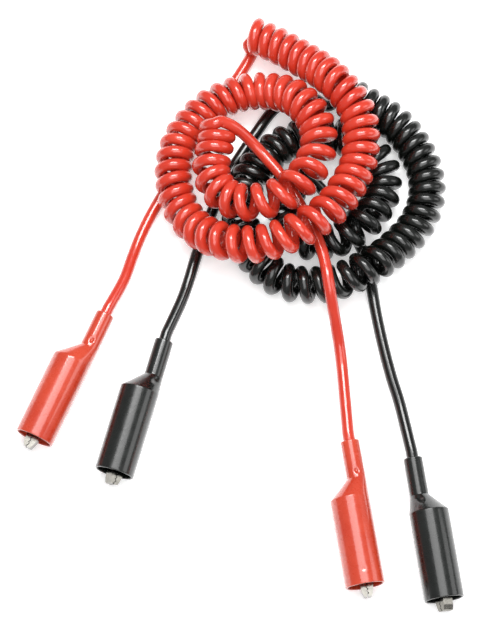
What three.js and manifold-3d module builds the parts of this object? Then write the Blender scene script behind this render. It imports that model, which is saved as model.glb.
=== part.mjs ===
// A pair of coiled jumper leads, one red and one black, laid one on the other on a level surface.
// Each lead is one wire: a straight tail, a long retractile coil laid as a spiral, and a second tail.
// Each of the four ends is a soft boot over a small sprung clip whose nose stands out of the boot's mouth.
// Millimetres, +Z up. The origin is on the surface, in the middle of the box around the four boots and clips.
import * as THREE from "three";
import { mergeVertices } from "three/addons/utils/BufferGeometryUtils.js";
import Module from "manifold-3d";

const wasm = await Module();
wasm.setup();

// The wire and its coil
const WIRE_DIAMETER = 4.5;
const COIL_DIAMETER = 15.4;
const TAIL_STEP = 12;
const TAIL_SIDES = 8;
const COIL_STEP = 6.5;
const COIL_SIDES = 12;

// Clearance that pieces keep where they touch
const TOUCH_GAP = 0.3;

// The boot, along its axis from the mouth at 0 back to the end of the neck
const BARREL_RADIUS = 7.7;
const BOOT_WALL = 0.9;
const BARREL_LENGTH = 34.5;
const SHOULDER_LENGTH = 7.5;
const SHOULDER_ROUNDING = 1.2;
const NECK_LENGTH = 15;
const NECK_RADIUS = 3.7;
const MOUTH_EDGE = 0.25;
const BOOT_SIDES = 32;

// The clip, along the boot's axis, with the lever side up
const NOSE_REACH = 4.5;
const SHEET = 0.6;
const CLIP_WIDTH = 6.4;
const NOSE_WIDTH = 4.6;
const NOSE_HEIGHT = 2.2;
const NOSE_CORNER = 1.1;
const NOSE_END_WALL = 1.2;
const CONTACT_HEIGHT = -0.3;
const TOOTH_PITCH = 1.5;
const TOOTH_DEPTH = 0.6;
const TOOTH_COUNT = 8;
const TOOTH_GAP = 0.4;
const PIVOT_BACK = 17;
const PIVOT_HEIGHT = -1.2;
const PIN_RADIUS = 0.9;
const PIN_HEAD_RADIUS = 1.5;
const PIN_HEAD_THICKNESS = 0.4;
const PIN_SIDES = 16;
const CLIP_CLEARANCE = 0.4;
const EAR_RADIUS = 2.3;
const CHANNEL_WALL_HEIGHT = 2.4;
const CHANNEL_BACK = 34;
const NOSE_TAPER_START = 12;
const NOSE_TAPER_END = 2;
const JAW_RISE = 3;
const LEVER_BACK = 33;
const LEVER_TOP = 5.5;
const LEVER_THICKNESS = 0.9;
const SPRING_WIRE = 0.8;
const SPRING_LEG = 7;
const CRIMP_RADIUS = 2.4;
const CRIMP_LENGTH = 7.5;

const WIRE_RADIUS = WIRE_DIAMETER / 2;
const COIL_RADIUS = COIL_DIAMETER / 2;
const NECK_OFFSET = NECK_RADIUS - BARREL_RADIUS;
const NECK_BORE_RADIUS = WIRE_RADIUS + TOUCH_GAP;
const BOOT_LENGTH = BARREL_LENGTH + SHOULDER_LENGTH + NECK_LENGTH;
const NECK_FRONT = -BARREL_LENGTH - SHOULDER_LENGTH;
const CRIMP_BACK = CHANNEL_BACK + CRIMP_LENGTH;
const FACET_HALF_ANGLE = Math.PI / BOOT_SIDES;

// The channel's floor, whose edges keep their clearance from the round wall of the boot
const FLOOR_HEIGHT = CLIP_CLEARANCE - Math.sqrt((BARREL_RADIUS - BOOT_WALL) ** 2 - (CLIP_WIDTH / 2) ** 2);

// Where each end lies: the middle of the boot's mouth, its heading, its roll about its own axis,
// and how far the clip leans towards the lever side in its boot
const ENDS = [
  { name: "left_red", color: "red", mouth: [-79.8, 8.2], heading: -114.2, roll: 90, lean: 1.2 },
  { name: "left_black", color: "black", mouth: [-48.3, -5.7], heading: -106, roll: 56.25, lean: 0 },
  { name: "right_red", color: "red", mouth: [48.9, -49.9], heading: -80.6, roll: 90, lean: 0 },
  { name: "right_black", color: "black", mouth: [79.1, -55.1], heading: -81.3, roll: -33.75, lean: 0 },
];

const MATERIALS = {
  red_wire: new THREE.MeshStandardMaterial({ color: 0xe23a22, roughness: 0.25, metalness: 0 }),
  black_wire: new THREE.MeshStandardMaterial({ color: 0x121412, roughness: 0.2, metalness: 0 }),
  red_boot: new THREE.MeshStandardMaterial({ color: 0xe03a26, roughness: 0.35, metalness: 0 }),
  black_boot: new THREE.MeshStandardMaterial({ color: 0x222624, roughness: 0.45, metalness: 0 }),
  steel: new THREE.MeshStandardMaterial({ color: 0xc9c9c6, roughness: 0.3, metalness: 1 }),
};

// Geometry helpers

function toSolid(geometry) {
  const bare = geometry.index ? geometry.toNonIndexed() : geometry.clone();
  bare.deleteAttribute("normal");
  bare.deleteAttribute("uv");
  const merged = mergeVertices(bare, 1e-4);
  return new wasm.Manifold(
    new wasm.Mesh({
      numProp: 3,
      vertProperties: new Float32Array(merged.attributes.position.array),
      triVerts: new Uint32Array(merged.index.array),
    }),
  );
}

function toGeometry(solid) {
  const mesh = solid.getMesh();
  const geometry = new THREE.BufferGeometry();
  geometry.setAttribute("position", new THREE.BufferAttribute(mesh.vertProperties, 3));
  geometry.setIndex(new THREE.BufferAttribute(mesh.triVerts, 1));
  geometry.computeVertexNormals();
  return geometry;
}

// A side outline, as [along, up] points, given a width across the clip
function sidePlate(points, width) {
  const shape = new THREE.Shape(points.map(([along, up]) => new THREE.Vector2(along, up)));
  const plate = new THREE.ExtrudeGeometry(shape, { depth: width, bevelEnabled: false });
  plate.rotateX(Math.PI / 2);
  plate.translate(0, width / 2, 0);
  return plate;
}

// A plan outline, as [along, half width] points from back to front, given a height
function planPlate(points, low, high) {
  const rightSide = points.map(([along, half]) => new THREE.Vector2(along, -half));
  const leftSide = points.map(([along, half]) => new THREE.Vector2(along, half)).reverse();
  const shape = new THREE.Shape([...rightSide, ...leftSide]);
  const plate = new THREE.ExtrudeGeometry(shape, { depth: high - low, bevelEnabled: false });
  plate.translate(0, 0, low);
  return plate;
}

function crossPin(radius, width, sides, along, up) {
  const pin = new THREE.CylinderGeometry(radius, radius, width, sides);
  pin.translate(along, 0, up);
  return pin;
}

// Outer radius along the boot, from the end of the neck to the mouth, as [along, radius] points
const BOOT_OUTLINE = [
  [-BOOT_LENGTH, NECK_RADIUS - MOUTH_EDGE],
  [-BOOT_LENGTH + MOUTH_EDGE, NECK_RADIUS],
  [NECK_FRONT, NECK_RADIUS],
  [-BARREL_LENGTH - SHOULDER_ROUNDING, BARREL_RADIUS - SHOULDER_ROUNDING],
  [-BARREL_LENGTH, BARREL_RADIUS - SHOULDER_ROUNDING / 3],
  [-BARREL_LENGTH + SHOULDER_ROUNDING, BARREL_RADIUS],
  [-MOUTH_EDGE, BARREL_RADIUS],
  [0, BARREL_RADIUS - MOUTH_EDGE],
];

// The boot: a closed wall profile turned about the axis, then sheared so that the neck is flush with the back
function bootGeometry() {
  const facetScale = 1 / Math.cos(FACET_HALF_ANGLE);
  const shoulder = BOOT_OUTLINE.filter(([along]) => along > NECK_FRONT && along < -MOUTH_EDGE);
  const inside = [
    [0, BARREL_RADIUS - BOOT_WALL],
    ...shoulder.map(([along, radius]) => [along, radius - BOOT_WALL]).reverse(),
    [NECK_FRONT, NECK_BORE_RADIUS],
    [-BOOT_LENGTH, NECK_BORE_RADIUS],
  ];
  const profile = [...BOOT_OUTLINE, ...inside, BOOT_OUTLINE[0]];
  const points = profile.map(([along, radius]) => new THREE.Vector2(radius * facetScale, along));
  const boot = new THREE.LatheGeometry(points, BOOT_SIDES, FACET_HALF_ANGLE);
  boot.rotateZ(-Math.PI / 2);
  const position = boot.attributes.position;
  const bend = BOOT_OUTLINE.slice(2, 6);
  for (let i = 0; i < position.count; i += 1) {
    const along = THREE.MathUtils.clamp(position.getX(i), bend[0][0], bend[bend.length - 1][0]);
    const next = bend.findIndex(([place], k) => k > 0 && place >= along - 1e-4);
    const [startAlong, startRadius] = bend[next - 1];
    const [endAlong, endRadius] = bend[next];
    const radius = THREE.MathUtils.mapLinear(along, startAlong, endAlong, startRadius, endRadius);
    position.setZ(i, position.getZ(i) + radius - BARREL_RADIUS);
  }
  return boot;
}

// The saw teeth along the contact line, from the nose back, as [along, up] points
function teeth(height) {
  const points = [];
  for (let i = 0; i <= TOOTH_COUNT; i += 1) {
    const along = NOSE_REACH - NOSE_END_WALL / 2 - i * TOOTH_PITCH;
    points.push([along, height]);
    if (i < TOOTH_COUNT) {
      points.push([along - TOOTH_PITCH / 2, height - TOOTH_DEPTH]);
    }
  }
  return points;
}

const TEETH_BACK = NOSE_REACH - NOSE_END_WALL / 2 - TOOTH_COUNT * TOOTH_PITCH;
const BASE_TEETH_HEIGHT = CONTACT_HEIGHT - TOOTH_GAP / 2 + TOOTH_DEPTH / 2;
const JAW_TEETH_HEIGHT = BASE_TEETH_HEIGHT + TOOTH_GAP;

// Plan of a jaw: parallel sides that taper in to the nose, drawn in by the inset
function jawPlan(halfWidth, inset, back, front) {
  const noseHalf = Math.min(NOSE_WIDTH / 2, halfWidth);
  return [
    [-back, halfWidth - inset],
    [-NOSE_TAPER_START, halfWidth - inset],
    [-NOSE_TAPER_END, noseHalf - inset],
    [front, noseHalf - inset],
  ];
}

// The fixed jaw: a folded channel with a toothed nose, two pivot ears and a crimped barrel on the wire's end
function baseJawGeometry() {
  const half = CLIP_WIDTH / 2;
  const earTop = PIVOT_HEIGHT + EAR_RADIUS;
  const wallTop = FLOOR_HEIGHT + CHANNEL_WALL_HEIGHT;
  const noseFloor = CONTACT_HEIGHT - NOSE_HEIGHT;
  const outline = [
    [-CHANNEL_BACK, FLOOR_HEIGHT],
    [-NOSE_TAPER_START, FLOOR_HEIGHT],
    [NOSE_REACH - 2 * NOSE_CORNER, noseFloor],
    [NOSE_REACH - NOSE_CORNER / 3, noseFloor + NOSE_CORNER / 2],
    [NOSE_REACH, noseFloor + NOSE_CORNER],
    [NOSE_REACH, BASE_TEETH_HEIGHT],
    ...teeth(BASE_TEETH_HEIGHT),
    [TEETH_BACK - EAR_RADIUS, BASE_TEETH_HEIGHT - TOOTH_DEPTH],
    [-PIVOT_BACK + EAR_RADIUS, earTop - EAR_RADIUS / 3],
    [-PIVOT_BACK + EAR_RADIUS / 2, earTop],
    [-PIVOT_BACK - EAR_RADIUS / 2, earTop],
    [-PIVOT_BACK - EAR_RADIUS, earTop - EAR_RADIUS / 3],
    [-PIVOT_BACK - 2 * EAR_RADIUS, wallTop],
    [-CHANNEL_BACK, wallTop],
  ];
  const inside = [
    [-CHANNEL_BACK - SHEET, FLOOR_HEIGHT + SHEET],
    [-NOSE_TAPER_START, FLOOR_HEIGHT + SHEET],
    [NOSE_REACH - NOSE_END_WALL, noseFloor + SHEET],
    [NOSE_REACH - NOSE_END_WALL, earTop + SHEET],
    [-CHANNEL_BACK - SHEET, earTop + SHEET],
  ];
  const height = BARREL_RADIUS;
  const body = toSolid(sidePlate(outline, CLIP_WIDTH)).intersect(
    toSolid(planPlate(jawPlan(half, 0, CHANNEL_BACK, NOSE_REACH), -height, height)),
  );
  const hollow = toSolid(sidePlate(inside, CLIP_WIDTH)).intersect(
    toSolid(planPlate(jawPlan(half, SHEET, CHANNEL_BACK + SHEET, NOSE_REACH), -height, height)),
  );
  const pinHole = toSolid(
    crossPin(PIN_RADIUS + TOUCH_GAP / 2, CLIP_WIDTH * 2, PIN_SIDES, -PIVOT_BACK, PIVOT_HEIGHT),
  );
  const crimp = new THREE.CylinderGeometry(CRIMP_RADIUS, CRIMP_RADIUS, CRIMP_LENGTH + SHEET, PIN_SIDES);
  crimp.rotateZ(Math.PI / 2);
  crimp.translate(-CHANNEL_BACK - CRIMP_LENGTH / 2 + SHEET / 2, 0, NECK_OFFSET);
  return toGeometry(body.subtract(hollow).subtract(pinHole).add(toSolid(crimp)));
}

// The moving jaw: a narrower channel inside the ears, with its own teeth and the thumb lever behind
function leverJawGeometry() {
  const half = CLIP_WIDTH / 2 - SHEET - TOUCH_GAP;
  const noseTop = CONTACT_HEIGHT + NOSE_HEIGHT;
  const earBottom = PIVOT_HEIGHT - EAR_RADIUS + TOUCH_GAP;
  const outline = [
    ...teeth(JAW_TEETH_HEIGHT).reverse(),
    [NOSE_REACH, JAW_TEETH_HEIGHT],
    [NOSE_REACH, noseTop - NOSE_CORNER],
    [NOSE_REACH - NOSE_CORNER / 3, noseTop - NOSE_CORNER / 2],
    [NOSE_REACH - 2 * NOSE_CORNER, noseTop],
    [-NOSE_TAPER_START, JAW_RISE],
    [-PIVOT_BACK, JAW_RISE],
    [-LEVER_BACK, LEVER_TOP],
    [-LEVER_BACK, LEVER_TOP - LEVER_THICKNESS],
    [-PIVOT_BACK - EAR_RADIUS, PIVOT_HEIGHT + EAR_RADIUS],
    [-PIVOT_BACK - EAR_RADIUS, PIVOT_HEIGHT],
    [-PIVOT_BACK - EAR_RADIUS / 2, earBottom],
    [-PIVOT_BACK + EAR_RADIUS / 2, earBottom],
    [-PIVOT_BACK + EAR_RADIUS, PIVOT_HEIGHT],
    [TEETH_BACK - EAR_RADIUS / 2, JAW_TEETH_HEIGHT],
  ];
  const inside = [
    [-PIVOT_BACK - 2 * EAR_RADIUS, JAW_RISE - SHEET],
    [-PIVOT_BACK - 2 * EAR_RADIUS, earBottom - SHEET],
    [NOSE_REACH - NOSE_END_WALL, earBottom - SHEET],
    [NOSE_REACH - NOSE_END_WALL, noseTop - SHEET],
    [-NOSE_TAPER_START, JAW_RISE - SHEET],
  ];
  const height = BARREL_RADIUS;
  const body = toSolid(sidePlate(outline, 2 * half)).intersect(
    toSolid(planPlate(jawPlan(half, 0, LEVER_BACK, NOSE_REACH), -height, height)),
  );
  const hollow = toSolid(sidePlate(inside, 2 * half)).intersect(
    toSolid(planPlate(jawPlan(half, SHEET, LEVER_BACK, NOSE_REACH), -height, height)),
  );
  const pinHole = toSolid(
    crossPin(PIN_RADIUS + TOUCH_GAP / 2, CLIP_WIDTH * 2, PIN_SIDES, -PIVOT_BACK, PIVOT_HEIGHT),
  );
  return toGeometry(body.subtract(hollow).subtract(pinHole));
}

// The rivet through both jaws, with a head outside each ear
function pivotPinGeometry() {
  const shank = toSolid(
    crossPin(PIN_RADIUS, CLIP_WIDTH + 2 * TOUCH_GAP, PIN_SIDES, -PIVOT_BACK, PIVOT_HEIGHT),
  );
  const headPlace = CLIP_WIDTH / 2 + TOUCH_GAP / 2 + PIN_HEAD_THICKNESS / 2;
  const heads = [-1, 1].map((side) => {
    const head = crossPin(PIN_HEAD_RADIUS, PIN_HEAD_THICKNESS, PIN_SIDES, -PIVOT_BACK, PIVOT_HEIGHT);
    head.translate(0, side * headPlace, 0);
    return toSolid(head);
  });
  return toGeometry(shank.add(heads[0]).add(heads[1]));
}

// The torsion spring: its close-wound turns on the pin, and the leg that bears on the channel's floor
function springGeometry() {
  const inner = PIN_RADIUS + TOUCH_GAP;
  const outer = inner + SPRING_WIRE;
  const halfLength = CLIP_WIDTH / 2 - 2 * (SHEET + TOUCH_GAP);
  const profile = [
    new THREE.Vector2(inner, -halfLength),
    new THREE.Vector2(outer, -halfLength),
    new THREE.Vector2(outer, halfLength),
    new THREE.Vector2(inner, halfLength),
    new THREE.Vector2(inner, -halfLength),
  ];
  const turns = new THREE.LatheGeometry(profile, PIN_SIDES);
  turns.translate(-PIVOT_BACK, 0, PIVOT_HEIGHT);
  const start = new THREE.Vector3(-PIVOT_BACK, 0, PIVOT_HEIGHT - (inner + outer) / 2);
  const restHeight = FLOOR_HEIGHT + SHEET + SPRING_WIRE / 2 + TOUCH_GAP;
  const end = new THREE.Vector3(-PIVOT_BACK - SPRING_LEG, 0, restHeight);
  const leg = new THREE.CylinderGeometry(SPRING_WIRE / 2, SPRING_WIRE / 2, start.distanceTo(end), TAIL_SIDES);
  const direction = end.clone().sub(start).normalize();
  leg.applyQuaternion(new THREE.Quaternion().setFromUnitVectors(new THREE.Vector3(0, 1, 0), direction));
  const middle = start.clone().add(end).multiplyScalar(0.5);
  leg.translate(middle.x, middle.y, middle.z);
  return toGeometry(toSolid(turns).add(toSolid(leg)));
}

// Cord routes, as [x, y, z] points on the centreline, with z the height above the surface

const ROUTES = {
  red_left_tail: [
    [-58.9, 44.9, 7.7], [-56.9, 49.4, 7.7], [-54.8, 54, 7.7], [-52.8, 58.6, 7.7],
    [-51.6, 61.3, 7.7], [-45.9, 73.1, 5.2], [-42.8, 83, 3.3], [-40.3, 90.5, 2.4],
    [-36.8, 98.8, 2.3], [-33, 106.3, 2.3], [-28.6, 113.9, 2.3], [-23, 123.3, 2.3],
    [-17.4, 132.8, 2.3], [-11.7, 142.2, 2.3], [-6.5, 150.9, 2.3], [-1.2, 159.9, 2.3],
    [1.5, 164.3, 2.3], [4, 168.6, 2.4], [5.2, 170.7, 2.6],
  ],
  red_coil: [
    [7.3, 175.4, 11.6], [11.7, 173.2, 12.2], [16.2, 170.5, 13.4], [20.4, 167.6, 14.7],
    [24.7, 164.4, 16.2], [28.9, 161.1, 17.9], [33.1, 157.5, 20], [37, 153.3, 22.4],
    [40.5, 149.2, 23.8], [43.4, 145.3, 24], [45.9, 141.2, 24.1], [47.7, 136.7, 24.1],
    [48.6, 131.9, 24.1], [48.8, 126.4, 24.1], [48.4, 120.9, 24.1], [47.4, 115.6, 24.2],
    [45.4, 110.5, 24.6], [42.6, 105.2, 25.4], [39.5, 100.1, 26.5], [35.5, 95.3, 27.9],
    [30.1, 90.9, 29], [23.8, 86.9, 29], [17.6, 84.3, 27.9], [11.7, 82.8, 26.2], [5.4, 82.1, 25],
    [-0.6, 82.7, 23.8], [-6.4, 84.7, 21.6], [-11.9, 87.9, 18.2], [-16.6, 92, 15], [-20.4, 96.7, 13],
    [-23.1, 101.6, 12.3], [-24.9, 106.3, 12.6], [-25.8, 111.3, 12.9], [-26.2, 116.8, 13],
    [-25.6, 122.3, 13], [-24.3, 127.5, 12.8], [-22, 132.5, 12.6], [-18.8, 137, 12.6],
    [-15, 141.3, 12.8], [-10.8, 144.8, 13], [-5.5, 147.7, 13], [-0.7, 149.6, 13], [4.2, 150.7, 13],
    [9.9, 150.8, 13.6], [14.9, 149.6, 15.6], [19.7, 147.5, 18.4], [23.8, 144.1, 21.1],
    [27.1, 140.1, 22.8], [29.7, 135.9, 23.6], [31.4, 131.3, 23.9], [32, 126.3, 24.2],
    [31.3, 120.4, 24.9], [28.7, 113.7, 26.4], [24, 106.8, 28.7], [17.4, 101.6, 28.9],
    [10.1, 99.4, 27.3], [2.6, 99.3, 25.5], [-3.5, 101.3, 24.2], [-7.7, 105.2, 23.6],
    [-10.1, 110.2, 23.4], [-10.8, 115.2, 23.4], [-10, 120.1, 23.8], [-9.2, 124.2, 24.2],
    [-8.5, 128.3, 24.6],
  ],
  red_right_tail: [
    [-10.6, 131.3, 30], [-6.5, 131.8, 29.4], [-2.5, 130.8, 27.4], [1.4, 128.9, 24.2],
    [4.6, 126.7, 21.4], [8, 123.7, 19.2], [11.4, 119.9, 18.6], [15.8, 114.6, 18.6],
    [20.5, 107.7, 18.6], [24.8, 100.1, 18.6], [28.8, 92.2, 18.6], [32.3, 83.9, 18.6],
    [34.3, 75.8, 19.4], [35.4, 68.7, 19.8], [36.9, 60.8, 15.8], [38.9, 51.7, 9.2],
    [40.8, 39.8, 4.6], [43, 9.9, 7.7], [43.5, 7, 7.7], [44.4, 2.1, 7.7], [45.2, -2.9, 7.7],
    [46, -7.8, 7.7],
  ],
  black_left_tail: [
    [-33.5, 33.8, 5.5], [-32.1, 38.6, 5.5], [-30.8, 43.4, 5.5], [-29.4, 48.2, 5.5],
    [-28.6, 51.1, 5.5], [-22.9, 64.9, 3.4], [-20, 73.9, 2.3], [-17.1, 84, 2.3], [-14.1, 93.3, 2.3],
    [-10.9, 102.6, 2.3], [-7.1, 112, 2.3], [-2.7, 121.2, 2.3], [2.2, 129.4, 2.3], [7.3, 137.2, 2.3],
    [12.4, 144.8, 2.3], [17.3, 149.6, 2.3], [22.4, 152, 2.3], [27.5, 152.4, 2.3],
    [31.8, 151.5, 2.3], [34.9, 149.1, 2.4],
  ],
  black_coil: [
    [43.3, 152.2, 8], [48.1, 149.5, 8], [53, 146.3, 8], [58, 143, 8], [62.4, 139.8, 8],
    [66, 136.1, 8], [69.2, 131.8, 8], [71.7, 127.3, 8], [73.7, 123, 8], [75.1, 118.5, 8],
    [75.8, 113.6, 8], [75.8, 108.8, 8], [74.9, 103.9, 8], [73.1, 99.2, 8], [70.5, 94.6, 8],
    [67.1, 90.4, 8.1], [63.2, 86.3, 8.8], [59, 82.3, 10.3], [54.6, 78.6, 12.3], [49.6, 75.5, 13],
    [44.1, 72.9, 11.7], [38.8, 71.4, 9.5], [32.4, 70.6, 8.2], [26.1, 70.6, 8], [19.7, 71.6, 8],
    [13.8, 74.7, 8], [8.8, 79.3, 8], [4.6, 85.2, 8], [2, 91.4, 8], [0.8, 98.2, 8], [1, 104.9, 8],
    [2.4, 111.3, 8], [5.2, 116.6, 8], [8.3, 121.6, 8], [12.6, 125.7, 8], [17.1, 129.2, 8],
    [22, 131.7, 8], [26.9, 133.2, 8], [31.9, 134, 8], [37.4, 133.9, 8], [42.7, 132.9, 8],
    [47.4, 130.8, 8], [51.9, 127.8, 8], [55.3, 123.9, 8], [57.6, 119.4, 8], [58.3, 114.3, 8],
    [57.8, 109.2, 8.5], [55.8, 104.1, 9.9], [52.8, 98.8, 11.9], [49, 94.3, 13], [44.4, 91.3, 12.3],
    [39.5, 89.3, 10.1], [34, 88.2, 8.4], [28, 88.7, 8], [22.8, 91.9, 8], [19.4, 96.7, 8],
    [18.2, 102, 8], [18.9, 107.1, 8], [20.5, 111.5, 8],
  ],
  black_right_tail: [
    [19.4, 115.9, 13.6], [23.9, 116.5, 12.6], [28.3, 115.4, 9.8], [32.4, 112.9, 5.8],
    [36.7, 108.5, 3], [40.9, 102.6, 2.3], [44.9, 96, 2.3], [48.4, 89.7, 2.3], [51, 83.2, 2.3],
    [52.3, 76.4, 2.3], [53.4, 70.2, 2.3], [55.4, 57.7, 2.3], [58, 44.9, 2.3], [60.8, 33.4, 2.3],
    [63.8, 22.9, 2.3], [67.8, 3.9, 4.4], [68.3, 0.9, 4.4], [69, -4, 4.4], [69.8, -9, 4.4],
    [70.6, -13.9, 4.4],
  ],
};

function routeCurve(points) {
  return new THREE.CatmullRomCurve3(
    points.map(([x, y, z]) => new THREE.Vector3(x, y, z)),
    false,
    "catmullrom",
    0.5,
  );
}

function tubeGeometry(points, radius, sides, step) {
  const curve = routeCurve(points);
  const section = new THREE.Shape();
  for (let i = 0; i < sides; i += 1) {
    const angle = ((i + 0.5) * 2 * Math.PI) / sides;
    const x = radius * Math.cos(angle);
    const y = radius * Math.sin(angle);
    if (i === 0) {
      section.moveTo(x, y);
    } else {
      section.lineTo(x, y);
    }
  }
  section.closePath();
  return new THREE.ExtrudeGeometry(section, {
    steps: Math.max(2, Math.round(curve.getLength() / step)),
    bevelEnabled: false,
    extrudePath: curve,
  });
}

function mesh(name, geometry, material) {
  const made = new THREE.Mesh(geometry, material);
  made.name = name;
  return made;
}

// A lead's end: the boot and the clip in it, drawn along +X with the lever side up, then laid in its place
function leadEnd({ name, color, mouth, heading, roll, lean }) {
  const clip = new THREE.Group();
  clip.add(mesh(`${name}_base_jaw`, baseJawGeometry(), MATERIALS.steel));
  clip.add(mesh(`${name}_lever_jaw`, leverJawGeometry(), MATERIALS.steel));
  clip.add(mesh(`${name}_pivot_pin`, pivotPinGeometry(), MATERIALS.steel));
  clip.add(mesh(`${name}_spring`, springGeometry(), MATERIALS.steel));
  for (const piece of clip.children) {
    piece.position.set(CRIMP_BACK, 0, -NECK_OFFSET);
  }
  clip.position.set(-CRIMP_BACK, 0, NECK_OFFSET);
  clip.rotation.y = -THREE.MathUtils.degToRad(lean);
  const end = new THREE.Group();
  end.add(mesh(`${name}_boot`, bootGeometry(), MATERIALS[`${color}_boot`]));
  end.add(clip);
  end.rotation.set(THREE.MathUtils.degToRad(roll), 0, THREE.MathUtils.degToRad(heading), "ZYX");
  end.position.set(mouth[0], mouth[1], BARREL_RADIUS);
  end.updateMatrixWorld(true);
  return end;
}

const jumperLeads = new THREE.Group();
for (const end of ENDS) {
  jumperLeads.add(leadEnd(end));
}
for (const [name, points] of Object.entries(ROUTES)) {
  const coiled = name.endsWith("coil");
  const tube = coiled
    ? tubeGeometry(points, COIL_RADIUS, COIL_SIDES, COIL_STEP)
    : tubeGeometry(points, WIRE_RADIUS, TAIL_SIDES, TAIL_STEP);
  jumperLeads.add(mesh(name, tube, MATERIALS[`${name.split("_")[0]}_wire`]));
}

export default jumperLeads;
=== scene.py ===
"""Looks of a pair of coiled jumper leads, one red and one black, laid one on the other.

Metres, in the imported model's own frame: +X towards the right pair of ends, +Y towards the coils, +Z up.
"""

import math

import bmesh
import bpy
import numpy as np
from mathutils import Matrix, Vector


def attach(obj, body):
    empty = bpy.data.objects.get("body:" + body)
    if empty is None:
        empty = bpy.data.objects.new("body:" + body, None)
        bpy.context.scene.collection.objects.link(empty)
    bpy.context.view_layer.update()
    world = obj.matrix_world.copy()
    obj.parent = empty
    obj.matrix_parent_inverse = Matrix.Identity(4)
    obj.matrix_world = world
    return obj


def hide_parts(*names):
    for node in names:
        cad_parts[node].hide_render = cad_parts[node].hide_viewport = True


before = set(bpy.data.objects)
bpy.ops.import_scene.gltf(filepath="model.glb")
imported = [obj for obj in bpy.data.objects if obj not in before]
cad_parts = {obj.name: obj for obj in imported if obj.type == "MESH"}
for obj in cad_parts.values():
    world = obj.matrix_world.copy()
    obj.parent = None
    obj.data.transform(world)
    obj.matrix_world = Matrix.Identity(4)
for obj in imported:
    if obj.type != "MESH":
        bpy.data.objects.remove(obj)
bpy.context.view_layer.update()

# The wire and its coil
WIRE_DIAMETER = 0.0047
COIL_DIAMETER = 0.0154
HELIX_RADIUS = (COIL_DIAMETER - WIRE_DIAMETER) / 2
TURN_SAMPLES = 32
TAIL_SAMPLE_STEP = 0.0025
COIL_SAMPLE_STEP = 0.0005
WIRE_SIDES_SETTING = 6
BEND_POINTS_IN = 10
BEND_POINTS_OUT = 8

# Each lead's coil: where the tops of some of its turns lie along it, as (distance, turn), the wire's angle
# round the coil's axis where it starts and ends, in degrees from the top towards the right of travel, and
# how far the coil reaches past each end of its route
LEADS = {
    "red": {
        "tops": [
            (0, 0), (0.0475, 9), (0.091, 17), (0.126, 22), (0.178, 30), (0.2535, 44), (0.286, 50),
            (0.3335, 56), (0.3625, 61), (0.3715, 63),
        ],
        "start_angle": -210, "end_angle": -20, "overreach": 0.003, "length": 2.48,
    },
    "black": {
        "tops": [
            (0.001, 0), (0.0115, 2), (0.0615, 12), (0.0835, 16), (0.108, 20), (0.1405, 25), (0.1875, 33),
            (0.208, 37), (0.254, 45), (0.266, 47), (0.294, 51), (0.334, 58),
        ],
        "start_angle": -170, "end_angle": -25, "overreach": 0.004, "length": 2.30,
    },
}

# The boot, along its axis from the mouth at 0 back to the end of the neck
BARREL_RADIUS = 0.0077
BOOT_WALL = 0.0009
BARREL_LENGTH = 0.0345
SHOULDER_LENGTH = 0.0075
NECK_LENGTH = 0.015
NECK_RADIUS = 0.0037
NECK_BORE_RADIUS = 0.00255
NECK_FRONT = -(BARREL_LENGTH + SHOULDER_LENGTH)
BOOT_BACK = NECK_FRONT - NECK_LENGTH
BOOT_SEGMENTS = 96
BOOT_STEP = 0.0005
CORNER_STEPS = 6
MOUTH_ROUNDING = 0.00035
# The stretch over which the boot widens, with room for its rounded corners
WIDENING_BACK = NECK_FRONT - 0.003
WIDENING_FRONT = -0.025
# A point of the outline that is further out than this share of the boot's radius is on its outer skin
OUTER_SHARE = 0.85

# Where each end lies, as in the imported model: the middle of the boot's mouth, its heading and its roll
# in degrees, the clip's lean, the rounding of the boot's shoulder, and the dents in the boot, each as how far
# along it lies, its angle from straight up in degrees, its depth and its reach
ENDS = [
    {"name": "left_red", "color": "red", "mouth": (-0.0798, 0.0082), "heading": -114.2, "roll": 90,
     "lean": 1.2, "shoulder": 0.0026, "dents": [(-0.0445, 5, 0.0007, 0.0008)]},
    {"name": "left_black", "color": "black", "mouth": (-0.0483, -0.0057), "heading": -106,
     "roll": 56.25, "lean": 0, "shoulder": 0.0008, "dents": [(-0.0398, 35, 0.0008, 0.0014)]},
    {"name": "right_red", "color": "red", "mouth": (0.0489, -0.0499), "heading": -80.6, "roll": 90,
     "lean": 0, "shoulder": 0.0009, "dents": [(-0.0445, 5, 0.0007, 0.0008), (-0.0055, 0, 0.0003, 0.0007)]},
    {"name": "right_black", "color": "black", "mouth": (0.0791, -0.0551), "heading": -81.3,
     "roll": -33.75, "lean": 0, "shoulder": 0.0008, "dents": [(-0.0398, -15, 0.0008, 0.0014)]},
]

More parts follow.
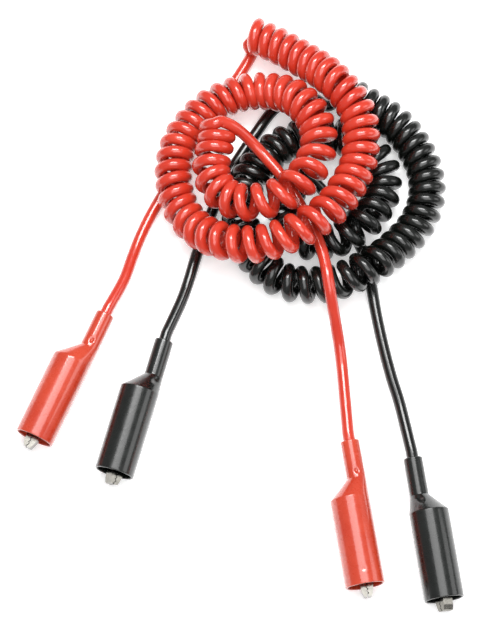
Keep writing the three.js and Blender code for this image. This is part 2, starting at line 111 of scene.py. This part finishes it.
# The wires' routes, on their centrelines
ROUTES = {
    "red_left_tail": [
        (-0.0589, 0.0449, 0.0077), (-0.0569, 0.0494, 0.0077), (-0.0548, 0.054, 0.0077),
        (-0.0528, 0.0586, 0.0077), (-0.0516, 0.0613, 0.0077), (-0.0459, 0.0731, 0.0052),
        (-0.0428, 0.083, 0.0033), (-0.0403, 0.0905, 0.0024), (-0.0368, 0.0988, 0.0023),
        (-0.033, 0.1063, 0.0023), (-0.0286, 0.1139, 0.0023), (-0.023, 0.1233, 0.0023),
        (-0.0174, 0.1328, 0.0023), (-0.0117, 0.1422, 0.0023), (-0.0065, 0.1509, 0.0023),
        (-0.0012, 0.1599, 0.0023), (0.0015, 0.1643, 0.0023), (0.004, 0.1686, 0.0024),
        (0.0052, 0.1707, 0.0026),
    ],
    "red_coil": [
        (0.0073, 0.1754, 0.0116), (0.0117, 0.1732, 0.0122), (0.0162, 0.1705, 0.0134),
        (0.0204, 0.1676, 0.0147), (0.0247, 0.1644, 0.0162), (0.0289, 0.1611, 0.0179),
        (0.0331, 0.1575, 0.02), (0.037, 0.1533, 0.0224), (0.0405, 0.1492, 0.0238),
        (0.0434, 0.1453, 0.024), (0.0459, 0.1412, 0.0241), (0.0477, 0.1367, 0.0241),
        (0.0486, 0.1319, 0.0241), (0.0488, 0.1264, 0.0241), (0.0484, 0.1209, 0.0241),
        (0.0474, 0.1156, 0.0242), (0.0454, 0.1105, 0.0246), (0.0426, 0.1052, 0.0254),
        (0.0395, 0.1001, 0.0265), (0.0355, 0.0953, 0.0279), (0.0301, 0.0909, 0.029),
        (0.0238, 0.0869, 0.029), (0.0176, 0.0843, 0.0279), (0.0117, 0.0828, 0.0262),
        (0.0054, 0.0821, 0.025), (-0.0006, 0.0827, 0.0238), (-0.0064, 0.0847, 0.0216),
        (-0.0119, 0.0879, 0.0182), (-0.0166, 0.092, 0.015), (-0.0204, 0.0967, 0.013),
        (-0.0231, 0.1016, 0.0123), (-0.0249, 0.1063, 0.0126), (-0.0258, 0.1113, 0.0129),
        (-0.0262, 0.1168, 0.013), (-0.0256, 0.1223, 0.013), (-0.0243, 0.1275, 0.0128),
        (-0.022, 0.1325, 0.0126), (-0.0188, 0.137, 0.0126), (-0.015, 0.1413, 0.0128),
        (-0.0108, 0.1448, 0.013), (-0.0055, 0.1477, 0.013), (-0.0007, 0.1496, 0.013),
        (0.0042, 0.1507, 0.013), (0.0099, 0.1508, 0.0136), (0.0149, 0.1496, 0.0156),
        (0.0197, 0.1475, 0.0184), (0.0238, 0.1441, 0.0211), (0.0271, 0.1401, 0.0228),
        (0.0297, 0.1359, 0.0236), (0.0314, 0.1313, 0.0239), (0.032, 0.1263, 0.0242),
        (0.0313, 0.1204, 0.0249), (0.0287, 0.1137, 0.0264), (0.024, 0.1068, 0.0287),
        (0.0174, 0.1016, 0.0289), (0.0101, 0.0994, 0.0273), (0.0026, 0.0993, 0.0255),
        (-0.0035, 0.1013, 0.0242), (-0.0077, 0.1052, 0.0236), (-0.0101, 0.1102, 0.0234),
        (-0.0108, 0.1152, 0.0234), (-0.01, 0.1201, 0.0238), (-0.0092, 0.1242, 0.0242),
        (-0.0085, 0.1283, 0.0246),
    ],
    "red_right_tail": [
        (-0.0106, 0.1313, 0.03), (-0.0065, 0.1318, 0.0294), (-0.0025, 0.1308, 0.0274),
        (0.0014, 0.1289, 0.0242), (0.0046, 0.1267, 0.0214), (0.008, 0.1237, 0.0192),
        (0.0114, 0.1199, 0.0186), (0.0158, 0.1146, 0.0186), (0.0205, 0.1077, 0.0186),
        (0.0248, 0.1001, 0.0186), (0.0288, 0.0922, 0.0186), (0.0323, 0.0839, 0.0186),
        (0.0343, 0.0758, 0.0194), (0.0354, 0.0687, 0.0198), (0.0369, 0.0608, 0.0158),
        (0.0389, 0.0517, 0.0092), (0.0408, 0.0398, 0.0046), (0.043, 0.0099, 0.0077),
        (0.0435, 0.007, 0.0077), (0.0444, 0.0021, 0.0077), (0.0452, -0.0029, 0.0077),
        (0.046, -0.0078, 0.0077),
    ],
    "black_left_tail": [
        (-0.0335, 0.0338, 0.0055), (-0.0321, 0.0386, 0.0055), (-0.0308, 0.0434, 0.0055),
        (-0.0294, 0.0482, 0.0055), (-0.0286, 0.0511, 0.0055), (-0.0229, 0.0649, 0.0034),
        (-0.02, 0.0739, 0.0023), (-0.0171, 0.084, 0.0023), (-0.0141, 0.0933, 0.0023),
        (-0.0109, 0.1026, 0.0023), (-0.0071, 0.112, 0.0023), (-0.0027, 0.1212, 0.0023),
        (0.0022, 0.1294, 0.0023), (0.0073, 0.1372, 0.0023), (0.0124, 0.1448, 0.0023),
        (0.0173, 0.1496, 0.0023), (0.0224, 0.152, 0.0023), (0.0275, 0.1524, 0.0023),
        (0.0318, 0.1515, 0.0023), (0.0349, 0.1491, 0.0024),
    ],
    "black_coil": [
        (0.0433, 0.1522, 0.008), (0.0481, 0.1495, 0.008), (0.053, 0.1463, 0.008), (0.058, 0.143, 0.008),
        (0.0624, 0.1398, 0.008), (0.066, 0.1361, 0.008), (0.0692, 0.1318, 0.008),
        (0.0717, 0.1273, 0.008), (0.0737, 0.123, 0.008), (0.0751, 0.1185, 0.008),
        (0.0758, 0.1136, 0.008), (0.0758, 0.1088, 0.008), (0.0749, 0.1039, 0.008),
        (0.0731, 0.0992, 0.008), (0.0705, 0.0946, 0.008), (0.0671, 0.0904, 0.0081),
        (0.0632, 0.0863, 0.0088), (0.059, 0.0823, 0.0103), (0.0546, 0.0786, 0.0123),
        (0.0496, 0.0755, 0.013), (0.0441, 0.0729, 0.0117), (0.0388, 0.0714, 0.0095),
        (0.0324, 0.0706, 0.0082), (0.0261, 0.0706, 0.008), (0.0197, 0.0716, 0.008),
        (0.0138, 0.0747, 0.008), (0.0088, 0.0793, 0.008), (0.0046, 0.0852, 0.008),
        (0.002, 0.0914, 0.008), (0.0008, 0.0982, 0.008), (0.001, 0.1049, 0.008),
        (0.0024, 0.1113, 0.008), (0.0052, 0.1166, 0.008), (0.0083, 0.1216, 0.008),
        (0.0126, 0.1257, 0.008), (0.0171, 0.1292, 0.008), (0.022, 0.1317, 0.008),
        (0.0269, 0.1332, 0.008), (0.0319, 0.134, 0.008), (0.0374, 0.1339, 0.008),
        (0.0427, 0.1329, 0.008), (0.0474, 0.1308, 0.008), (0.0519, 0.1278, 0.008),
        (0.0553, 0.1239, 0.008), (0.0576, 0.1194, 0.008), (0.0583, 0.1143, 0.008),
        (0.0578, 0.1092, 0.0085), (0.0558, 0.1041, 0.0099), (0.0528, 0.0988, 0.0119),
        (0.049, 0.0943, 0.013), (0.0444, 0.0913, 0.0123), (0.0395, 0.0893, 0.0101),
        (0.034, 0.0882, 0.0084), (0.028, 0.0887, 0.008), (0.0228, 0.0919, 0.008),
        (0.0194, 0.0967, 0.008), (0.0182, 0.102, 0.008), (0.0189, 0.1071, 0.008),
        (0.0205, 0.1115, 0.008),
    ],
    "black_right_tail": [
        (0.0194, 0.1159, 0.0136), (0.0239, 0.1165, 0.0126), (0.0283, 0.1154, 0.0098),
        (0.0324, 0.1129, 0.0058), (0.0367, 0.1085, 0.003), (0.0409, 0.1026, 0.0023),
        (0.0449, 0.096, 0.0023), (0.0484, 0.0897, 0.0023), (0.051, 0.0832, 0.0023),
        (0.0523, 0.0764, 0.0023), (0.0534, 0.0702, 0.0023), (0.0554, 0.0577, 0.0023),
        (0.058, 0.0449, 0.0023), (0.0608, 0.0334, 0.0023), (0.0638, 0.0229, 0.0023),
        (0.0678, 0.0039, 0.0044), (0.0683, 0.0009, 0.0044), (0.069, -0.004, 0.0044),
        (0.0698, -0.009, 0.0044), (0.0706, -0.0139, 0.0044),
    ],
}


def matrix_of(end):
    """Where an end's own frame lies: +X out of the boot's mouth, +Z to the clip's lever side."""
    turn = Matrix.Rotation(math.radians(end["heading"]), 4, "Z")
    roll = Matrix.Rotation(math.radians(end["roll"]), 4, "X")
    return Matrix.Translation((*end["mouth"], BARREL_RADIUS)) @ turn @ roll


# Camera
CAMERA_TARGET = Vector((0.0048, 0.0621, 0.0))
CAMERA_DISTANCE = 0.95
CAMERA_ELEVATION = math.radians(74)
CAMERA_LENS = 137.46


def make_camera():
    data = bpy.data.cameras.new("camera")
    data.lens = CAMERA_LENS
    data.sensor_width = 36
    data.clip_start = 0.05
    data.clip_end = 20
    camera = bpy.data.objects.new("camera", data)
    back = Vector((0, -math.cos(CAMERA_ELEVATION), math.sin(CAMERA_ELEVATION)))
    camera.location = CAMERA_TARGET + CAMERA_DISTANCE * back
    camera.rotation_euler = (math.pi / 2 - CAMERA_ELEVATION, 0, 0)
    bpy.context.scene.collection.objects.link(camera)
    bpy.context.scene.camera = camera


# Materials

# Noise mostly lies between these values
NOISE_LOW = 0.3
NOISE_HIGH = 0.7
DULL_SHARE = 0.72


def new_node(tree, kind, inputs=(), **settings):
    made = tree.nodes.new(kind)
    for key, value in settings.items():
        setattr(made, key, value)
    for socket, value in dict(inputs).items():
        if isinstance(value, bpy.types.NodeSocket):
            tree.links.new(value, made.inputs[socket])
        else:
            made.inputs[socket].default_value = value
    return made


def noise(tree, place, size, detail, rough=0.5):
    """Noise whose features are about size across, in metres."""
    made = new_node(
        tree, "ShaderNodeTexNoise", {"Vector": place, "Scale": 1 / size, "Detail": detail, "Roughness": rough}
    )
    return made.outputs["Fac"]


def remapped(tree, value, low, high):
    """A noise value turned into the range from low to high."""
    inputs = {"Value": value, "From Min": NOISE_LOW, "From Max": NOISE_HIGH, "To Min": low, "To Max": high}
    return new_node(tree, "ShaderNodeMapRange", inputs).outputs["Result"]


def mixed(tree, factor, a, b):
    """One colour turning into another."""
    made = new_node(tree, "ShaderNodeMix", data_type="RGBA")
    tree.links.new(factor, made.inputs["Factor"])
    made.inputs[6].default_value = (*a, 1)
    made.inputs[7].default_value = (*b, 1)
    return made.outputs[2]


def started(name, **constants):
    """A new material with its shader's constant sockets set, and its tree, shader and place."""
    made = bpy.data.materials.new(name)
    made.use_nodes = True
    tree = made.node_tree
    shader = tree.nodes["Principled BSDF"]
    for socket, value in constants.items():
        shader.inputs[socket.replace("_", " ")].default_value = value
    place = new_node(tree, "ShaderNodeTexCoord").outputs["Object"]
    return made, tree, shader, place


def bumped(tree, shader, height, depth, strength):
    made = new_node(tree, "ShaderNodeBump", {"Height": height, "Distance": depth, "Strength": strength})
    tree.links.new(made.outputs["Normal"], shader.inputs["Normal"])


def vinyl(name, deep, light, roughness, skin, coat):
    """Soft vinyl: a slow drift between two tones, an uneven gloss and a fine moulded skin."""
    made, tree, shader, place = started(
        name, IOR=1.5, Coat_Weight=coat, Coat_Roughness=0.06, Coat_IOR=1.55
    )
    drift = remapped(tree, noise(tree, place, 0.012, 3), 0, 1)
    tree.links.new(mixed(tree, drift, deep, light), shader.inputs["Base Color"])
    gloss = remapped(tree, noise(tree, place, 0.003, 4), *roughness)
    tree.links.new(gloss, shader.inputs["Roughness"])
    bumped(tree, shader, noise(tree, place, skin, 4, 0.6), 0.00006, 0.5)
    return made


def plated_steel(name, tone, roughness):
    """Nickel-plated sheet: faint rolling lines, small dull spots and an uneven shine."""
    made, tree, shader, place = started(name, Metallic=1.0)
    cloud = remapped(tree, noise(tree, place, 0.0015, 4), 0, 1)
    dull = tuple(DULL_SHARE * value for value in tone)
    tree.links.new(mixed(tree, cloud, dull, tone), shader.inputs["Base Color"])
    tree.links.new(remapped(tree, noise(tree, place, 0.0008, 3), *roughness), shader.inputs["Roughness"])
    bumped(tree, shader, noise(tree, place, 0.0004, 3, 0.6), 0.00003, 0.6)
    return made


def make_materials():
    return {
        "red_wire": vinyl(
            "red_wire", (0.54, 0.03, 0.014), (0.61, 0.046, 0.022), (0.18, 0.26), skin=0.0012, coat=0.6
        ),
        "black_wire": vinyl(
            "black_wire", (0.002, 0.0025, 0.002), (0.005, 0.006, 0.005), (0.2, 0.3), skin=0.0012, coat=0.35
        ),
        "red_boot": vinyl(
            "red_boot", (0.5, 0.036, 0.012), (0.57, 0.054, 0.02), (0.24, 0.32), skin=0.0016, coat=0.9
        ),
        "black_boot": vinyl(
            "black_boot", (0.003, 0.004, 0.0035), (0.006, 0.008, 0.007), (0.24, 0.32), skin=0.0016, coat=0.5
        ),
        "plated_steel": plated_steel("plated_steel", (0.27, 0.26, 0.235), (0.08, 0.22)),
        "spring_steel": plated_steel("spring_steel", (0.4, 0.4, 0.4), (0.25, 0.4)),
    }


# Wires


def through(points, step):
    """A smooth line through the points, with samples about step apart."""
    points = np.array(points, float)
    padded = np.vstack([2 * points[0] - points[1], points, 2 * points[-1] - points[-2]])
    line = []
    for before, start, end, after in zip(padded, padded[1:], padded[2:], padded[3:], strict=False):
        count = max(1, round(float(np.linalg.norm(end - start)) / step))
        t = (np.arange(count) / count)[:, None]
        line.append(
            start
            + 0.5 * (end - before) * t
            + (before - 2.5 * start + 2 * end - 0.5 * after) * t**2
            + (1.5 * start - 0.5 * before - 1.5 * end + 0.5 * after) * t**3
        )
    return np.vstack([*line, points[-1:]])


def along(line):
    """The distance along a line at each of its points."""
    return np.concatenate([[0], np.cumsum(np.linalg.norm(np.diff(line, axis=0), axis=1))])


def unit(vectors):
    """The vectors at a length of 1."""
    return vectors / np.linalg.norm(vectors, axis=-1, keepdims=True)


def read_off(places, spots, vectors):
    """The vectors that are known at the spots, read off at other places along a line."""
    return np.stack([np.interp(places, spots, vectors[:, axis]) for axis in range(3)], axis=1)


def helix(route, lead):
    """The wire's line round a coil's route, each turn where its top lies."""
    centre = through(route, COIL_SAMPLE_STEP)
    before = centre[0] - unit(centre[1] - centre[0]) * lead["overreach"]
    after = centre[-1] + unit(centre[-1] - centre[-2]) * lead["overreach"]
    centre = np.vstack([before, centre, after])
    spots = along(centre) - lead["overreach"]
    even = np.linspace(spots[0], spots[-1], round((spots[-1] - spots[0]) / COIL_SAMPLE_STEP))
    centre = read_off(even, spots, centre)
    tangent = unit(np.gradient(centre, even, axis=0))
    right = unit(np.cross(tangent, (0, 0, 1)))
    up = np.cross(right, tangent)
    tops, turns = zip(*lead["tops"], strict=True)
    first_turn = lead["start_angle"] / 360
    last_turn = turns[-1] + lead["end_angle"] / 360
    turn = np.linspace(first_turn, last_turn, round((last_turn - first_turn) * TURN_SAMPLES))
    place = np.interp(turn, turns, tops)
    first_pitch = (tops[1] - tops[0]) / (turns[1] - turns[0])
    place += np.minimum(turn, 0) * first_pitch
    middle, upward, rightward = (read_off(place, even, part) for part in (centre, up, right))
    angle = (2 * math.pi * turn)[:, None]
    return middle + HELIX_RADIUS * (np.cos(angle) * upward + np.sin(angle) * rightward)


def bridge(before, after, count):
    """The points of a smooth bend from the end of one line to the start of the next."""
    start, end = before[-1], after[0]
    reach = np.linalg.norm(end - start)
    leave = unit(before[-1] - before[-2]) * reach
    arrive = unit(after[1] - after[0]) * reach
    t = (np.arange(1, count) / count)[:, None]
    return (
        (2 * t**3 - 3 * t**2 + 1) * start
        + (t**3 - 2 * t**2 + t) * leave
        + (3 * t**2 - 2 * t**3) * end
        + (t**3 - t**2) * arrive
    )


def wire_line(color):
    """A lead's whole line: out of the left boot, round the coil and into the right boot."""
    first = through(ROUTES[f"{color}_left_tail"], TAIL_SAMPLE_STEP)
    turns = helix(ROUTES[f"{color}_coil"], LEADS[color])
    last = through(ROUTES[f"{color}_right_tail"][1:], TAIL_SAMPLE_STEP)
    bend_in = bridge(first, turns, BEND_POINTS_IN)
    bend_out = bridge(turns, last, BEND_POINTS_OUT)
    line = np.vstack([first, bend_in, turns, bend_out, last])
    line[:, 2] = np.maximum(line[:, 2], WIRE_DIAMETER / 2)
    return line


def make_wire(color, materials):
    line = wire_line(color)
    data = bpy.data.curves.new(f"{color}_wire", "CURVE")
    data.dimensions = "3D"
    data.bevel_depth = WIRE_DIAMETER / 2
    data.bevel_resolution = WIRE_SIDES_SETTING
    data.use_fill_caps = True
    spline = data.splines.new("POLY")
    spline.points.add(len(line) - 1)
    spline.points.foreach_set("co", np.column_stack([line, np.ones(len(line))]).ravel())
    spline.use_smooth = True
    wire = bpy.data.objects.new(f"{color}_wire", data)
    data.materials.append(materials[f"{color}_wire"])
    bpy.context.scene.collection.objects.link(wire)
    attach(wire, "root")
    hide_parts(f"{color}_left_tail", f"{color}_coil", f"{color}_right_tail")


# Boots


def rounded(corners):
    """A closed outline whose corners, given as (along, radius, rounding), are turned into arcs."""
    outline = []
    count = len(corners)
    for i, (x, r, rounding) in enumerate(corners):
        corner = np.array([x, r])
        back = unit(np.array(corners[i - 1][:2]) - corner)
        ahead = unit(np.array(corners[(i + 1) % count][:2]) - corner)
        half = math.acos(float(np.clip(back @ ahead, -1, 1))) / 2
        reach = rounding / math.tan(half)
        middle = corner + unit(back + ahead) * rounding / math.sin(half)
        first, second = corner + back * reach - middle, corner + ahead * reach - middle
        for k in range(CORNER_STEPS + 1):
            spoke = unit(first * (1 - k / CORNER_STEPS) + second * k / CORNER_STEPS)
            outline.append(middle + rounding * spoke)
    return outline


def filled_in(outline, step):
    """A closed outline with points added along its straight stretches."""
    points = []
    for a, b in zip(outline, outline[1:] + outline[:1], strict=True):
        count = max(1, round(float(np.linalg.norm(b - a)) / step))
        points += [a + (b - a) * k / count for k in range(count)]
    return points


def boot_outline(shoulder):
    """The corners of the boot's outer and inner outlines, each as (along, radius, rounding)."""
    outer = [
        (BOOT_BACK, NECK_RADIUS, 0.0004),
        (NECK_FRONT, NECK_RADIUS, 0.0012),
        (-BARREL_LENGTH, BARREL_RADIUS, shoulder),
        (0, BARREL_RADIUS, MOUTH_ROUNDING),
    ]
    inner = [
        (0, BARREL_RADIUS - BOOT_WALL, MOUTH_ROUNDING),
        (-BARREL_LENGTH, BARREL_RADIUS - BOOT_WALL, 0.0008),
        (NECK_FRONT, NECK_BORE_RADIUS, 0.0005),
        (BOOT_BACK, NECK_BORE_RADIUS, 0.0003),
    ]
    return outer, inner


def dented(x, r, angle, dents):
    """The radius of the boot's skin where it is pressed in by its dents."""
    for spot, turned, depth, reach in dents:
        across = r * ((angle - math.radians(turned) + math.pi) % (2 * math.pi) - math.pi)
        r -= depth * math.exp(-((x - spot) ** 2 + across**2) / reach**2)
    return r


def make_boot(end, materials):
    """The boot's skin, whose neck and barrel line up along one side."""
    outer, inner = boot_outline(end["shoulder"])
    outline = filled_in(rounded(outer + inner), BOOT_STEP)
    widening = [tuple(p) for p in rounded(outer) if WIDENING_BACK < p[0] < WIDENING_FRONT]
    xs, radii = zip(*sorted(widening), strict=True)
    mesh = bmesh.new()
    rings = []
    for x, r in outline:
        radius = float(np.interp(x, xs, radii))
        lift = radius - BARREL_RADIUS
        dents = end["dents"] if r > OUTER_SHARE * radius else []
        ring = []
        for k in range(BOOT_SEGMENTS):
            angle = 2 * math.pi * k / BOOT_SEGMENTS
            pressed = dented(x, r, angle - math.radians(end["roll"]), dents)
            ring.append(mesh.verts.new((x, pressed * math.sin(angle), pressed * math.cos(angle) + lift)))
        rings.append(ring)
    for a, b in zip(rings, rings[1:] + rings[:1], strict=True):
        for k in range(BOOT_SEGMENTS):
            following = (k + 1) % BOOT_SEGMENTS
            mesh.faces.new((a[k], a[following], b[following], b[k]))
    bmesh.ops.recalc_face_normals(mesh, faces=mesh.faces)
    mesh.transform(matrix_of(end))
    data = bpy.data.meshes.new(f"{end['name']}_boot_skin")
    mesh.to_mesh(data)
    mesh.free()
    data.shade_smooth()
    boot = bpy.data.objects.new(f"{end['name']}_boot_skin", data)
    bpy.context.scene.collection.objects.link(boot)
    data.materials.append(materials[f"{end['color']}_boot"])
    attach(boot, "root")
    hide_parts(f"{end['name']}_boot")


# Clips

PIVOT = Vector((-0.017, 0, -0.0012))
CLIP_LEAN_CENTRE = Vector((-0.0415, 0, -0.004))
SPRING_WIRE = 0.0008
SPRING_TURN_RADIUS = 0.0016
SPRING_HALF_LENGTH = 0.0014
SPRING_TURNS = 3.5
SPRING_TURN_SAMPLES = 24
LOWER_LEG_END = Vector((-0.024, 0, -0.0043))
UPPER_LEG_END = Vector((-0.0235, 0, 0.0027))
STEEL_EDGE = 0.00012
STEEL_EDGE_ANGLE = math.radians(25)


def clip_matrix(end):
    """Where an end's clip lies: the end's own frame, leant about the back of the crimp."""
    lean = Matrix.Rotation(-math.radians(end["lean"]), 4, "Y")
    there, back = Matrix.Translation(CLIP_LEAN_CENTRE), Matrix.Translation(-CLIP_LEAN_CENTRE)
    return matrix_of(end) @ there @ lean @ back


def spring_line():
    """The spring wire's line: in along the lower leg, round the pin, and out along the upper leg."""
    points = []
    count = round(SPRING_TURNS * SPRING_TURN_SAMPLES)
    for i in range(count + 1):
        angle = math.pi * (1.5 - 2 * SPRING_TURNS * i / count)
        side = SPRING_HALF_LENGTH * (2 * i / count - 1)
        out, up = math.cos(angle) * SPRING_TURN_RADIUS, math.sin(angle) * SPRING_TURN_RADIUS
        points.append(PIVOT + Vector((out, side, up)))
    lower = LOWER_LEG_END + Vector((0, -SPRING_HALF_LENGTH, 0))
    upper = UPPER_LEG_END + Vector((0, SPRING_HALF_LENGTH, 0))
    return [lower, *points, upper]


def make_spring(end, materials):
    line = spring_line()
    data = bpy.data.curves.new(f"{end['name']}_wound_spring", "CURVE")
    data.dimensions = "3D"
    data.bevel_depth = SPRING_WIRE / 2
    data.bevel_resolution = 3
    data.use_fill_caps = True
    spline = data.splines.new("POLY")
    spline.points.add(len(line) - 1)
    place = clip_matrix(end)
    for point, spot in zip(spline.points, line, strict=True):
        point.co = (*(place @ spot), 1)
    spring = bpy.data.objects.new(f"{end['name']}_wound_spring", data)
    data.materials.append(materials["spring_steel"])
    bpy.context.scene.collection.objects.link(spring)
    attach(spring, "root")
    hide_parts(f"{end['name']}_spring")


def finish_steel(node, materials):
    """The jaws, levers and rivets stay as packed, with their sheet edges rounded."""
    node.data.materials.clear()
    node.data.materials.append(materials["plated_steel"])
    edge = node.modifiers.new("edge", "BEVEL")
    edge.width = STEEL_EDGE
    edge.segments = 2
    edge.limit_method = "ANGLE"
    edge.angle_limit = STEEL_EDGE_ANGLE
    edge.harden_normals = True


# Lights and floor
LIGHT_AIM = Vector((0.0, 0.06, 0.0))
FLOOR_HALF_SIDE = 2.5
FLOOR_GLOW = 0.4


def area_light(name, place, size, radiance):
    """A soft box at a place, aimed at the leads. Radiance is what a mirror would show."""
    data = bpy.data.lights.new(name, "AREA")
    data.shape = "RECTANGLE"
    data.size, data.size_y = size
    data.energy = radiance * math.pi * size[0] * size[1]
    light = bpy.data.objects.new(name, data)
    light.location = place
    light.rotation_euler = (LIGHT_AIM - Vector(place)).to_track_quat("-Z", "Y").to_euler()
    bpy.context.scene.collection.objects.link(light)


def make_studio():
    area_light("key", (0.02, 0.34, 0.72), (0.46, 0.2), 15)
    area_light("overhead", (0.06, -0.1, 0.95), (0.75, 1.0), 3.0)
    area_light("right_fill", (0.95, 0.05, 0.48), (0.5, 0.5), 2.0)
    world = bpy.data.worlds.new("studio")
    world.use_nodes = True
    background = world.node_tree.nodes["Background"]
    background.inputs["Color"].default_value = (1, 1, 1, 1)
    background.inputs["Strength"].default_value = 0.3
    bpy.context.scene.world = world
    bpy.context.scene.view_settings.view_transform = "Standard"


def make_floor():
    data = bpy.data.meshes.new("floor")
    signs = ((-1, -1), (1, -1), (1, 1), (-1, 1))
    corners = [(x * FLOOR_HALF_SIDE, y * FLOOR_HALF_SIDE, 0) for x, y in signs]
    data.from_pydata(corners, [], [(0, 1, 2, 3)])
    floor = bpy.data.objects.new("floor", data)
    bpy.context.scene.collection.objects.link(floor)
    made, tree, shader, place = started("floor", Roughness=0.6, Emission_Strength=FLOOR_GLOW)
    shader.inputs["Emission Color"].default_value = (1, 1, 1, 1)
    tone = remapped(tree, noise(tree, place, 0.4, 2), 0, 1)
    tree.links.new(mixed(tree, tone, (0.93, 0.93, 0.93), (0.95, 0.95, 0.95)), shader.inputs["Base Color"])
    data.materials.append(made)


make_camera()
finishes = make_materials()
for lead_color in LEADS:
    make_wire(lead_color, finishes)
for lead_end in ENDS:
    make_boot(lead_end, finishes)
for lead_end in ENDS:
    make_spring(lead_end, finishes)
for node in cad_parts.values():
    if not node.hide_render:
        finish_steel(node, finishes)
make_studio()
make_floor()
